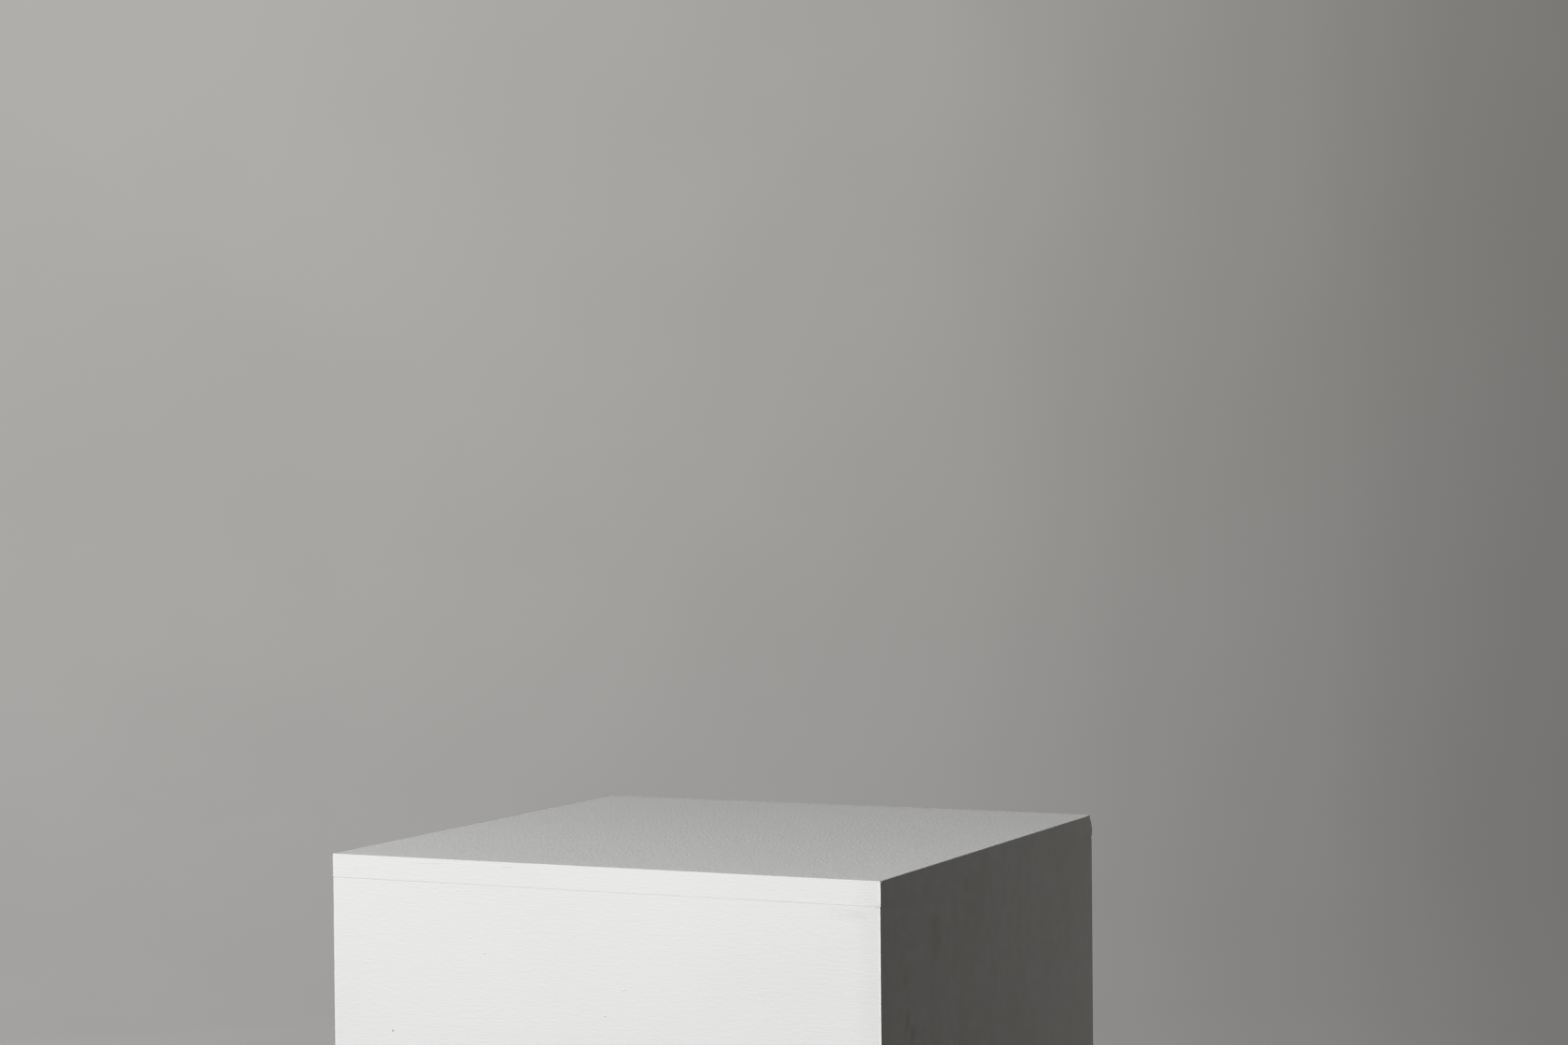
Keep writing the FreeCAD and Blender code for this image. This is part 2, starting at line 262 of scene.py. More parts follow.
# Grubby places, as (spot, strength)
GRIME = [
    (front_mark(204, 24, 19, 6), 0.08),
    (front_mark(207, 24.5, 8, 2.8), 0.07),
    (front_mark(150, 75, 72, 40), 0.02),
    (front_mark(222, 18.2, 1.5, 1.2), 0.35),
    (right_mark(-123, 52, 12, 22), 0.26),
    (right_mark(-86, 36.5, 9, 12), 0.13),
    (right_mark(-60.5, 20, 2.5, 6), 0.20),
    (right_mark(-61, 27, 3.5, 4), 0.14),
    (right_mark(-180, 74, 6, 9), 0.20),
    (right_mark(-195, 62, 28, 60), 0.07),
    (right_mark(-177, 105, 6, 9), 0.30),
    (right_mark(-167, 117, 6, 9), 0.34),
    (right_mark(162, 88, 8, 30), 0.07),
    (right_mark(40, 150, 30, 60), 0.04),
    (back_mark(-118, 262, 62, 26), 0.07),
    (back_mark(-84, 281, 13, 6), 0.12),
    (back_mark(152, 700, 3.5, 42), 0.16),
    (back_mark(30, 925, 90, 10), 0.12),
    (left_mark(58, 318, 46, 30), 0.08),
    (left_mark(98, 347, 12, 6), 0.14),
    (left_mark(-146, 640, 4, 58), 0.12),
    (left_mark(-40, 940, 70, 8), 0.12),
]
# Thin scratches and small dark dots
DOTS = [
    (front_mark(-173, 131, 0.9, 0.9), 0.8),
    (front_mark(-146, 4.0, 17, 0.4), 0.10),
    (front_mark(-132, 3.4, 8, 0.4), 0.12),
    (front_mark(-73, 3.7, 6, 0.6), 0.16),
    (top_mark(196, -10, 1.3), 0.5),
    (top_mark(106, 66, 1.2), 0.4),
]
# Grit and drips under the paint, as (spot, share of the bump's full height)
NIBS = [
    (front_mark(7, 108, 1.4, 1.0), 0.9),
    (front_mark(-93, 68, 1.3, 0.9), 0.8),
    (front_mark(-105, 57, 1.8, 0.8), 0.5),
    (front_mark(23, 88, 1.4, 0.9), 0.8),
    (top_mark(-140, -158, 1.6), 2.0),
    (top_mark(-201, -69, 2.2), 0.9),
    (top_mark(-197, -180, 1.6), 0.7),
    (top_mark(-52, -190, 1.5), 0.7),
    (top_mark(160, -120, 1.5), 0.7),
]


def spots(nodes, marks, ragged, most=1.0):
    """How strongly each point is marked, from 0 up to most, with edges broken up by a noise."""
    total = 0.0
    for (centre, size), strength in marks:
        away = nodes.vector("SUBTRACT", nodes.place, centre)
        away = nodes.vector("LENGTH", nodes.vector("DIVIDE", away, size))
        away = nodes.plus(away, ragged)
        total = nodes.plus(total, nodes.ramp(away, 0.25, 1.25, strength, 0.0))
    return nodes.maths("MINIMUM", total, most)


def emulsion(n, x, patchy):
    """Off-white that drifts a little from place to place, and is streakier on the right side."""
    broad = n.noise(7, shift=(3, 1, 7), detail=2)
    streaks = n.noise((34, 34, 17), shift=(4, 2, 1), detail=3, rough=0.6)
    paint = n.mix(n.ramp(broad, 0.3, 0.7), rgb(0.846, 0.846, 0.844), rgb(0.858, 0.858, 0.855))
    paint = n.mix(n.ramp(patchy, 0.35, 0.75, 0.0, 0.08), paint, rgb(0.79, 0.788, 0.775))
    right_side = n.ramp(x, HALF - 2 * MM, HALF - 1 * MM)
    streaky = n.times(n.ramp(streaks, 0.40, 0.72, 0.0, 0.20), right_side)
    return n.mix(streaky, paint, rgb(0.70, 0.68, 0.625))


def corner_darkening_and_edge_highlight(n, paint, patchy, x, y):
    """The paint darkens towards the near upright corner, and every upright edge gets a painted highlight.
    """
    near = n.ramp(n.minus(x, y), 2 * HALF - 24 * MM, 2 * HALF - 3 * MM)
    darker_near_corner = n.times(near, n.ramp(patchy, 0.2, 0.8, 0.10, 0.17))
    paint = n.mix(darker_near_corner, paint, rgb(0.58, 0.575, 0.55))
    corner = n.maths("MINIMUM", n.maths("ABSOLUTE", x), n.maths("ABSOLUTE", y))
    broken = n.ramp(n.noise((90, 90, 160), detail=3), 0.3, 0.6, 0.25, 1.0)
    # Painted highlight: a lighter line on each upright edge stands in for the light its thicker paint
    # catches
    edge = n.times(n.ramp(corner, HALF - 2.4 * MM, HALF - 1.0 * MM), broken)
    return n.mix(edge, paint, rgb(0.90, 0.90, 0.898))


def dirtied(n, paint, x, y, z):
    """Grubby marks and dots, dust in the crack on the two faces turned away, and scuffs near the floor."""
    ragged = n.times(n.minus(n.noise(260, detail=3), 0.5), 1.3)
    grime = n.times(spots(n, GRIME, ragged), n.ramp(n.noise(420, detail=4), 0.2, 0.75, 0.45, 1.0))
    paint = n.mix(grime, paint, rgb(0.42, 0.385, 0.29))
    paint = n.mix(spots(n, DOTS, 0.0), paint, rgb(0.22, 0.20, 0.17))
    turned_away = n.ramp(n.maths("MAXIMUM", y, n.times(x, -1.0)), HALF - 1.2 * MM, HALF - 0.7 * MM)
    crack = n.ramp(n.maths("ABSOLUTE", n.minus(z, JOINT_Z)), 0.2 * MM, 0.8 * MM, 0.45, 0.0)
    filled = n.ramp(n.noise((19, 19, 5), shift=(2, 8, 0), detail=3), 0.35, 0.65, 0.2, 1.0)
    paint = n.mix(n.times(n.times(crack, filled), turned_away), paint, rgb(0.36, 0.345, 0.31))
    scuffs = n.ramp(n.noise((30, 30, 110), shift=(6, 6, 0), detail=5, rough=0.7), 0.52, 0.8, 0.0, 0.30)
    low_down = n.ramp(z, SKIRT_Z, 75 * MM, 1.0, 0.0)
    return n.mix(n.times(low_down, scuffs), paint, rgb(0.38, 0.37, 0.35))


def paint_height(n, z):
    """Brush ridges along the sides, the roller's lumps on top, and nibs."""
    ridges = n.noise((110, 110, 800), detail=3, rough=0.6)
    stipple = n.noise(480, shift=(0, 9, 4), detail=2, rough=0.6)
    lumps = n.noise((420, 240, 420), shift=(5, 0, 2), detail=4, rough=0.68)
    flat_top = n.ramp(z, TOP_Z - 0.25 * MM, TOP_Z - 0.1 * MM)
    height = n.plus(n.times(ridges, 0.5), n.times(stipple, 0.3))
    height = n.plus(height, n.times(n.times(lumps, flat_top), 2.0))
    return n.plus(height, spots(n, NIBS, 0.0, most=3.0))


def white_paint():
    """Matt white emulsion over filled and sanded board."""
    n = Nodes("white_paint")
    x, y, z = n.axes()
    patchy = n.noise((38, 38, 60), shift=(1, 5, 2), detail=4, rough=0.6)
    paint = emulsion(n, x, patchy)
    paint = corner_darkening_and_edge_highlight(n, paint, patchy, x, y)
    paint = dirtied(n, paint, x, y, z)
    rough = n.ramp(n.noise(90, detail=3), 0.3, 0.7, 0.60, 0.72)
    return n.finish(paint, rough, n.bump(paint_height(n, z), 0.30 * MM), specular=0.35)


def bare_mdf():
    n = Nodes("bare_mdf")
    fibres = n.noise((480, 480, 330), detail=5, rough=0.7, warp=1.2)
    specks = n.noise(1900, detail=1)
    tone = n.mix(n.ramp(fibres, 0.35, 0.7), rgb(0.42, 0.29, 0.175), rgb(0.58, 0.435, 0.285))
    tone = n.mix(n.ramp(specks, 0.62, 0.75, 0.0, 0.5), tone, rgb(0.25, 0.16, 0.09))
    tone = n.mix(n.ramp(n.noise(12, detail=2), 0.35, 0.65, 0.0, 0.25), tone, rgb(0.50, 0.36, 0.23))
    rough = n.ramp(fibres, 0.3, 0.7, 0.78, 0.9)
    return n.finish(tone, rough, n.bump(fibres, 0.06 * MM), specular=0.25)


RING_WIDTH = 2.1 * MM          # one year's growth


def pine(name, axis, seed):
    """Planed softwood, its grain along one axis, with the tree's heart off to one side and a few knots."""
    n = Nodes(name)
    along = Vector([1.0 if letter == axis else 0.0 for letter in "XYZ"])
    across = Vector((1, 1, 1)) - along
    turn = seed * 2.4
    pith = Vector((math.cos(turn), math.sin(turn), math.cos(turn + 1.1))) * (0.03 + 0.012 * (seed % 4))
    start = n.vector("ADD", n.place, tuple(pith))
    sideways = n.vector("MULTIPLY", start, tuple(across))
    bow = n.noise(tuple(across * 12 + along * 2.2), shift=(seed, 0, 0), detail=2)
    ripple = n.noise(tuple(across * 130 + along * 9), shift=(0, 0, seed), detail=2)
    grown = n.plus(n.vector("LENGTH", sideways), n.times(bow, 0.012))
    grown = n.plus(grown, n.times(ripple, 0.0012))

    knots = n.new("ShaderNodeTexVoronoi")
    knots_at = n.stretched(tuple(across * 22 + along * 7), (seed * 3.1, seed * 1.7, seed * 2.3))
    n.put(knots.inputs["Vector"], knots_at)
    knots.inputs["Scale"].default_value = 1.0
    near_knot = n.ramp(knots.outputs["Distance"], 0.08, 0.30, 1.0, 0.0)
    grown = n.plus(grown, n.times(near_knot, 0.004))
    ring = n.maths("FRACT", n.maths("DIVIDE", grown, RING_WIDTH))
    late = n.times(n.ramp(ring, 0.25, 0.92), n.ramp(ring, 0.94, 1.0, 1.0, 0.0))
    late = n.times(late, n.ramp(bow, 0.2, 0.8, 0.55, 1.0))
    fibres = n.noise(tuple(across * 1700 + along * 40), shift=(0, seed, 0), detail=3, rough=0.6)
    tone = n.mix(late, rgb(0.66, 0.47, 0.28), rgb(0.44, 0.26, 0.125))
    tone = n.mix(n.ramp(fibres, 0.35, 0.75, 0.0, 0.30), tone, rgb(0.40, 0.25, 0.13))
    sapwood = n.ramp(n.noise(5, shift=(seed, 2, 0), detail=1), 0.3, 0.7, 0.0, 0.3)
    tone = n.mix(sapwood, tone, rgb(0.70, 0.56, 0.38))
    tone = n.mix(n.ramp(knots.outputs["Distance"], 0.04, 0.11, 0.9, 0.0), tone, rgb(0.17, 0.085, 0.04))
    height = n.plus(n.times(late, 0.35), n.times(fibres, 0.65))
    return n.finish(tone, n.ramp(fibres, 0.3, 0.7, 0.55, 0.72), n.bump(height, 0.03 * MM), specular=0.35)


def beech():
    """Pressed beech, its short flecks lying crosswise."""
    n = Nodes("pressed_beech")
    flecks = n.noise((900, 900, 260), detail=3, rough=0.6)
    tone = n.mix(n.ramp(flecks, 0.35, 0.72), rgb(0.66, 0.43, 0.25), rgb(0.46, 0.26, 0.13))
    tone = n.mix(n.ramp(n.noise(40, detail=2), 0.35, 0.65, 0.0, 0.3), tone, rgb(0.72, 0.50, 0.31))
    return n.finish(tone, n.ramp(flecks, 0.3, 0.7, 0.6, 0.75), n.bump(flecks, 0.05 * MM), specular=0.3)


def zinc():
    """Bright zinc plating, a little cloudy and finely scuffed."""
    n = Nodes("zinc_plate")
    cloud = n.noise(130, detail=4, rough=0.6, warp=0.6)
    scuffs = n.noise((2400, 2400, 600), shift=(1, 2, 3), detail=2)
    tone = n.mix(n.ramp(cloud, 0.3, 0.7), rgb(0.60, 0.61, 0.62), rgb(0.73, 0.74, 0.745))
    yellowed = n.ramp(n.noise(320, shift=(7, 0, 2), detail=2), 0.55, 0.75, 0.0, 0.35)
    tone = n.mix(yellowed, tone, rgb(0.60, 0.55, 0.46))
    rough = n.plus(n.ramp(cloud, 0.3, 0.7, 0.30, 0.42), n.ramp(scuffs, 0.4, 0.8, 0.0, 0.12))
    return n.finish(tone, rough, n.bump(scuffs, 0.012 * MM), metal=1.0)


def nylon():
    """Black moulded nylon with a fine spark-eroded grain."""
    n = Nodes("black_nylon")
    grain = n.noise(3200, detail=2)
    cloud = n.noise(110, detail=3)
    tone = n.mix(n.ramp(cloud, 0.3, 0.7), rgb(0.014, 0.014, 0.015), rgb(0.024, 0.024, 0.025))
    dust = n.ramp(n.noise(60, shift=(3, 0, 8), detail=4), 0.62, 0.78, 0.0, 0.25)
    tone = n.mix(dust, tone, rgb(0.10, 0.095, 0.085))
    return n.finish(tone, n.ramp(cloud, 0.3, 0.7, 0.42, 0.56), n.bump(grain, 0.04 * MM), specular=0.45)


def rubber():
    n = Nodes("soft_rubber")
    grain = n.noise(1700, detail=3)
    dust = n.noise(75, shift=(2, 4, 0), detail=5, rough=0.65)
    tone = n.mix(n.ramp(grain, 0.3, 0.7), rgb(0.022, 0.021, 0.020), rgb(0.036, 0.034, 0.032))
    tone = n.mix(n.ramp(dust, 0.5, 0.75, 0.0, 0.45), tone, rgb(0.13, 0.12, 0.105))
    return n.finish(tone, n.ramp(dust, 0.4, 0.7, 0.78, 0.92), n.bump(grain, 0.06 * MM), specular=0.25)


# Floor and wall -----------------------------------------------------------------------------------

FLOOR_R = 4.9                  # flat part of the floor
FLOOR_RINGS = (0.6, 1.5, 3.0)  # rings of vertices within it
COVE_R = 1.9                   # curve from floor to wall
WALL_TOP = 6.0
COVE_SEGMENTS = 120
COVE_SPAN = 7.0                # the wall's painted light is given at distances along X out to this, both ways
TONES_AT_Y = 6.6               # this far back
TONES_SLANT = 0.32             # and each level of that light lies this much further left for every metre further back
BEHIND_CAMERA = (0.46, 0.455, 0.445, 1.0)
WALL_PAINTED_LIGHT = [(-6.5, 0.45), (-4.2, 0.435), (-2.4, 0.356), (-1.3, 0.252), (-0.7, 0.2), (-0.1, 0.18),
              (3.5, 0.25)]


def cove_material():
    """A pale floor that takes light and shade near the plinth, and a wall lit with painted light that falls
    off from left to right as in a side-lit room."""
    n = Nodes("studio_cove")
    x, y, z = n.axes()
    across = n.new("ShaderNodeValToRGB")
    slanted = n.plus(x, n.times(n.minus(y, TONES_AT_Y), TONES_SLANT))
    n.put(across.inputs["Fac"], n.maths("DIVIDE", n.plus(slanted, COVE_SPAN), 2 * COVE_SPAN))
    stops = across.color_ramp
    stops.interpolation = "B_SPLINE"
    while len(stops.elements) < len(WALL_PAINTED_LIGHT):
        stops.elements.new(0.5)
    for stop, (at, tone) in zip(stops.elements, WALL_PAINTED_LIGHT):
        stop.position = (at + COVE_SPAN) / (2 * COVE_SPAN)
        stop.color = (tone, tone * 0.985, tone * 0.96, 1.0)
    # Painted light: the wall glows as if lit from the left, and a little warmer higher up
    glow = n.mix(n.ramp(z, 0.0, 2.2), across.outputs["Color"], rgb(0.985, 0.975, 0.955), "MULTIPLY")
    glow = n.mix(n.ramp(y, -3.0, 0.5, 1.0, 0.0), glow, BEHIND_CAMERA)
    far = n.maths("SQRT", n.plus(n.times(x, x), n.times(y, y)))
    near = n.ramp(far, 0.5, 2.4, 1.0, 0.0)
    # The painted glow is dimmer low down, and near the plinth, where the floor takes the lamps' light and
    # shade
    strength = n.times(n.ramp(far, 0.4, 2.6, 0.34, 1.0), n.ramp(z, -0.5, 3.0, 0.83, 1.0))
    mottle = n.ramp(n.noise(1.3, detail=3), 0.3, 0.7, 0.985, 1.015)
    n.put(n.shader.inputs["Emission Color"], glow)
    n.put(n.shader.inputs["Emission Strength"], n.times(strength, mottle))
    tone = n.mix(n.noise(30, detail=4), rgb(0.56, 0.56, 0.55), rgb(0.60, 0.60, 0.59))
    n.put(n.shader.inputs["Base Color"], n.mix(near, rgb(0.02, 0.02, 0.02), tone))
    n.shader.inputs["Roughness"].default_value = 0.9
    n.shader.inputs["Specular IOR Level"].default_value = 0.05
    return n.material


def make_cove():
    """A round studio cove: floor, quarter-round bend and wall in one. It throws no light on the plinth."""
    profile = [(r, 0.0) for r in FLOOR_RINGS]
    bend = [math.radians(a) for a in range(0, 91, 5)]
    profile += [(FLOOR_R + COVE_R * math.sin(a), COVE_R * (1 - math.cos(a))) for a in bend]
    profile.append((FLOOR_R + COVE_R, WALL_TOP))
    mesh = bpy.data.meshes.new("cove")
    shape = bmesh.new()
    rings = []
    turns = [2 * math.pi * i / COVE_SEGMENTS for i in range(COVE_SEGMENTS)]
    for r, z in profile:
        rings.append([shape.verts.new((r * math.cos(t), r * math.sin(t), z)) for t in turns])
    shape.faces.new(rings[0])
    for low, high in zip(rings, rings[1:]):
        for i in range(COVE_SEGMENTS):
            j = (i + 1) % COVE_SEGMENTS
            shape.faces.new((low[i], low[j], high[j], high[i]))
    bmesh.ops.recalc_face_normals(shape, faces=shape.faces)
    for face in shape.faces:
        face.smooth = True
    shape.to_mesh(mesh)
    shape.free()
    cove = bpy.data.objects.new("cove", mesh)
    bpy.context.scene.collection.objects.link(cove)
    mesh.materials.append(cove_material())
    cove.visible_diffuse = cove.visible_glossy = cove.visible_shadow = False


# Boards -------------------------------------------------------------------------------------------

def wobble(points, lumps, seed):
    """Smooth noise from about -1 to 1 at each point, with so many lumps to the metre."""
    shift = Vector((seed * 1.7, seed * 3.1, seed * 0.9))
    return np.array([noise.noise(Vector(p) * lumps + shift) for p in points])


def bell(points, centre, size):
    """1 at centre, falling to nothing at about two sizes away along each axis."""
    away = (points - np.array(centre)) / np.array(size)
    return np.exp(-(away ** 2).sum(1))


def arris_radius(points):
    """How far each point's edge was sanded round: a little unevenly, and more at two top corners."""
    radius = ARRIS * (1 + 0.22 * wobble(points, 9, 1) + 0.12 * wobble(points, 60, 2))
    radius += 1.6 * MM * bell(points, (TOP_HALF, TOP_HALF, TOP_Z), (5 * MM, 5 * MM, 6 * MM))
    radius += 1.0 * MM * bell(points, (TOP_HALF, -TOP_HALF, TOP_Z), (3 * MM, 3 * MM, 3 * MM))
    return radius


def edge_offsets():
    """Distances in from a sharp edge that fall evenly round its arc, then widen to the grid's spacing."""
    angles = np.radians(np.linspace(45, 0, ARC_STEPS + 1))
    offsets = list(ARRIS_MOST * (1 - np.tan(angles)))
    step = offsets[-1] - offsets[-2]
    while step < GRID:
        step *= 1.5
        offsets.append(offsets[-1] + step)
    return np.array(offsets)


def stations(low, high, low_offsets, high_offsets, spacing):
    """Places from low to high: the given offsets in from each end, and even steps between them."""
    start, end = low + low_offsets[-1], high - high_offsets[-1]
    middle = np.linspace(start, end, max(2, round((end - start) / spacing)) + 1)[1:-1]
    return np.concatenate([low + low_offsets, middle, (high - high_offsets)[::-1]])


LIP = np.array([0, 0.12, 0.25, 0.4, 0.6, 0.9, 1.4, 2.2, 3.6, 6.0]) * MM


# Knocked corners: (x side, y side, height), how deep, and how far the dent spreads
KNOCKS = [
    ((1, 1, TOP_Z), 1.9 * MM, 5.5 * MM),
    ((1, -1, TOP_Z), 0.7 * MM, 2.6 * MM),
    ((1, 1, JOINT_Z), 0.45 * MM, 1.6 * MM),
    ((1, -1, JOINT_Z), 0.30 * MM, 1.5 * MM),
    ((-1, 1, TOP_Z), 0.5 * MM, 3.0 * MM),
    ((1, -1, SKIRT_Z), 0.9 * MM, 5.0 * MM),
    ((-1, -1, SKIRT_Z), 1.3 * MM, 4.0 * MM),
    ((-1, 1, SKIRT_Z), 0.6 * MM, 7.0 * MM),
]
# How plain the crack under the top panel is along each face, at these shares of its half width
CRACK_AT = (-1, -0.5, 0, 1)
CRACK = {
    "front": (0.85, 0.55, 0.2, 0.1),
    "right": (0.1, 0.05, 0.08, 0.25),
    "back": (0.5, 0.7, 0.5, 0.8),
    "left": (0.6, 0.35, 0.5, 0.9),
}


def crack_share(points):
    """How plain the crack is at each point, by the face it is nearest to."""
    share = np.zeros(len(points))
    for facing, degrees in FACINGS.items():
        flat = turned(points, -degrees)
        here = flat[:, 1] < -HALF + 3 * MM
        share[here] = np.interp(flat[here, 0] / HALF, CRACK_AT, CRACK[facing])
    return share * (1 + 0.25 * wobble(points, 45, 5) + 0.2 * wobble(points, 160, 6))


def weathered(points, normals, crack_side):
    """Sinks points on the painted skin: slight waves, knocked corners, and the crack at the joint.
    crack_side is -1 for the side panels, which lie under the joint, and 1 for the top panel."""
    depth = SKIN * (1 + 0.5 * wobble(points, 14, 3))
    level = np.linalg.norm(normals[:, :2], axis=1)
    if crack_side > 0:
        depth += TOP_BACK_LEFT * np.clip(-normals[:, 0], 0, 1)
        depth += TOP_BACK_FRONT * np.clip(-normals[:, 1], 0, 1)
    for (x, y, z), deep, spread in KNOCKS:
        dent = bell(points, (x * HALF, y * HALF, z), (spread, spread, spread * 1.25))
        depth += deep * dent * level * (1 + 0.3 * wobble(points, 300, 8))
    away = (points[:, 2] - JOINT_Z) * crack_side
    lip = np.clip(1 - away / JOINT_CHAMFER, 0, 1) ** 1.5
    depth += lip * level * JOINT_DEPTH * crack_share(points)
    return points - normals * depth[:, None]


def rounded(points, low, high):
    """Where points on a sharp box land once its edges are rounded, and which way the surface faces."""
    radius = arris_radius(points)[:, None]
    core = np.clip(points, np.array(low) + radius, np.array(high) - radius)
    out = points - core
    normals = out / np.linalg.norm(out, axis=1)[:, None]
    return core + normals * radius, normals


class Shell:
    """A closed mesh put together from grids and flat faces whose borders match."""

    def __init__(self):
        self.shape = bmesh.new()

    def grid(self, points, material):
        """Quads over an array of points with two grid axes."""
        rows, columns = points.shape[:2]
        verts = [[self.shape.verts.new(points[i, j]) for j in range(columns)] for i in range(rows)]
        for i in range(rows - 1):
            for j in range(columns - 1):
                ring = (verts[i][j], verts[i + 1][j], verts[i + 1][j + 1], verts[i][j + 1])
                self.shape.faces.new(ring).material_index = material

    def face(self, points, material):
        self.shape.faces.new([self.shape.verts.new(p) for p in points]).material_index = material

    def made(self, name, materials):
        """The finished object, its matching borders welded and its normals facing out."""
        bmesh.ops.remove_doubles(self.shape, verts=self.shape.verts, dist=1e-7)
        bmesh.ops.recalc_face_normals(self.shape, faces=self.shape.faces)
        mesh = bpy.data.meshes.new(name)
        self.shape.to_mesh(mesh)
        self.shape.free()
        return shown(name, mesh, materials)


def shown(name, mesh, materials):
    """An object for a mesh, smooth but for its sharp edges."""
    piece = bpy.data.objects.new(name, mesh)
    bpy.context.scene.collection.objects.link(piece)
    for material in materials:
        mesh.materials.append(material)
    mesh.polygons.foreach_set("use_smooth", [True] * len(mesh.polygons))
    mesh.set_sharp_from_angle(angle=math.radians(SHARP))
    return piece


def turned(points, degrees):
    a = math.radians(degrees)
    turn = np.array(((math.cos(a), -math.sin(a), 0), (math.sin(a), math.cos(a), 0), (0, 0, 1)))
    return points @ turn.T


def skin(flat, degrees, low, high, crack_side):
    """A painted grid: points on a sharp box seen from the front, turned to their side, rounded and worn."""
    shape = flat.shape
    points = turned(flat.reshape(-1, 3), degrees)
    points, normals = rounded(points, low, high)
    return weathered(points, normals, crack_side).reshape(shape)


def side_panel(name, degrees, materials):
    """A mitred side panel. Paint wraps its outer face and lower edge, and the rest is bare board."""
    offsets = edge_offsets()
    across = stations(-HALF, HALF, offsets, offsets, GRID)
    up = stations(SKIRT_Z, JOINT_Z, offsets, LIP, GRID_UP)
    under = np.concatenate([offsets[offsets < 0.9 * (HALF - INNER)], [HALF - INNER]])
    low = (-HALF, -HALF, SKIRT_Z)
    high = (HALF, HALF, 2 * TOP_Z)
    panel = Shell()

    x, z = np.meshgrid(across, up, indexing="ij")
    outside = skin(np.stack([x, np.full_like(x, -HALF), z], -1), degrees, low, high, -1)
    panel.grid(outside, 0)
    share, inset = np.meshgrid(across / HALF, under, indexing="ij")
    flat = np.stack([share * (HALF - inset), inset - HALF, np.full_like(share, SKIRT_Z)], -1)
    below = skin(flat, degrees, low, high, -1)
    below[:, -1] = turned(flat[:, -1], degrees)
    panel.grid(below, 0)

    corners = turned(np.array([(-INNER, -INNER, JOINT_Z), (INNER, -INNER, JOINT_Z)]), degrees)
    panel.face([*outside[:, -1], corners[1], corners[0]], 1)
    panel.face([*below[::-1, -1], corners[0], corners[1]], 1)
    panel.face([*outside[0, ::-1], *below[0, 1:], corners[0]], 1)
    panel.face([*outside[-1], corners[1], *below[-1, :0:-1]], 1)
    return panel.made(name, materials)


def top_panel(materials):
    """The board that the exhibit stands on: painted all round and on top, bare underneath."""
    offsets = edge_offsets()
    across = stations(-TOP_HALF, TOP_HALF, offsets, offsets, GRID)
    up = stations(JOINT_Z, TOP_Z, LIP, offsets[offsets < 9 * MM], GRID)
    low = (-TOP_HALF, -TOP_HALF, -TOP_Z)
    high = (TOP_HALF, TOP_HALF, TOP_Z)
    panel = Shell()
    x, y = np.meshgrid(across, across, indexing="ij")
    panel.grid(skin(np.stack([x, y, np.full_like(x, TOP_Z)], -1), 0, low, high, 1), 0)
    x, z = np.meshgrid(across, up, indexing="ij")
    border = []
    for degrees in FACINGS.values():
        side = skin(np.stack([x, np.full_like(x, -TOP_HALF), z], -1), degrees, low, high, 1)
        panel.grid(side, 0)
        border += list(side[:-1, 0])
    panel.face(border[::-1], 1)
    return panel.made("top_board", materials)


# Turned and threaded pieces -----------------------------------------------------------------------

AXIS_R = 0.001 * MM            # as near to an axis as a ring may come

# Levelling stud, with heights from the underside of its collar
STUD_STEPS = 48
COLLAR_R = 5.5 * MM
COLLAR = 3.0 * MM
COLLAR_EASE = 0.2 * MM
NECK_R = 4.0 * MM
HEX_LOW = 14.0 * MM
HEX_HIGH = 21.0 * MM
HEX_CHAMFER = 0.6 * MM
STUD_THREAD_R = 4.97 * MM      # M10: crest and root of the thread, and its pitch
STUD_ROOT_R = 4.08 * MM
STUD_PITCH = 1.5 * MM
STUD_CLEAR_R = 4.0 * MM        # run-out under the thread, and the end of its lead-in chamfer
STUD_RUN_OUT = (1.0 * MM, 2.2 * MM)
STUD_LEAD_IN = 1.0 * MM
# The thread's outline along one pitch: (share of the pitch, share of the depth taken off)
METRIC = [(0.0, 0.05), (0.03, 0.0), (0.095, 0.0), (0.125, 0.05), (0.43, 0.95), (0.465, 1.0), (0.66, 1.0),
          (0.695, 0.95)]

# Pad and sole, with heights from the underside of each
TURNED_STEPS = 72
SOLE_R = 16.0 * MM             # the recess that the sole is stuck in, and its depth
SOLE_SUNK = 1.0 * MM
RIM_LOW_ROUND = 0.7 * MM
RIM_HIGH_ROUND = 0.8 * MM      # with its centre at this height
RIM_HIGH_AT = 3.4 * MM
DISH_ROUND = 3.2 * MM          # hollow of the shoulder, with its centre at this radius and height
DISH_AT = (13.2 * MM, 11.4 * MM)
NECK_ROUND = 0.8 * MM          # with its centre at this radius
NECK_ROUND_AT = 9.6 * MM
THROAT_R = 4.08 * MM           # the socket's throat, the lead into it, and the room for the collar
THROAT_LEAD_R = 4.5 * MM
THROAT_LEAD = 0.4 * MM
SOCKET_R = 5.58 * MM
SOCKET_LOW = 2.92 * MM
SOCKET_HIGH = 6.08 * MM
SOLE_ROUND = 0.6 * MM
GROOVES = (4 * MM, 7 * MM, 10 * MM, 13 * MM)
GROOVE_MOUTH = 0.6 * MM        # half widths of a groove at the floor and at its bottom, and its depth
GROOVE_BED = 0.35 * MM
GROOVE = 0.45 * MM

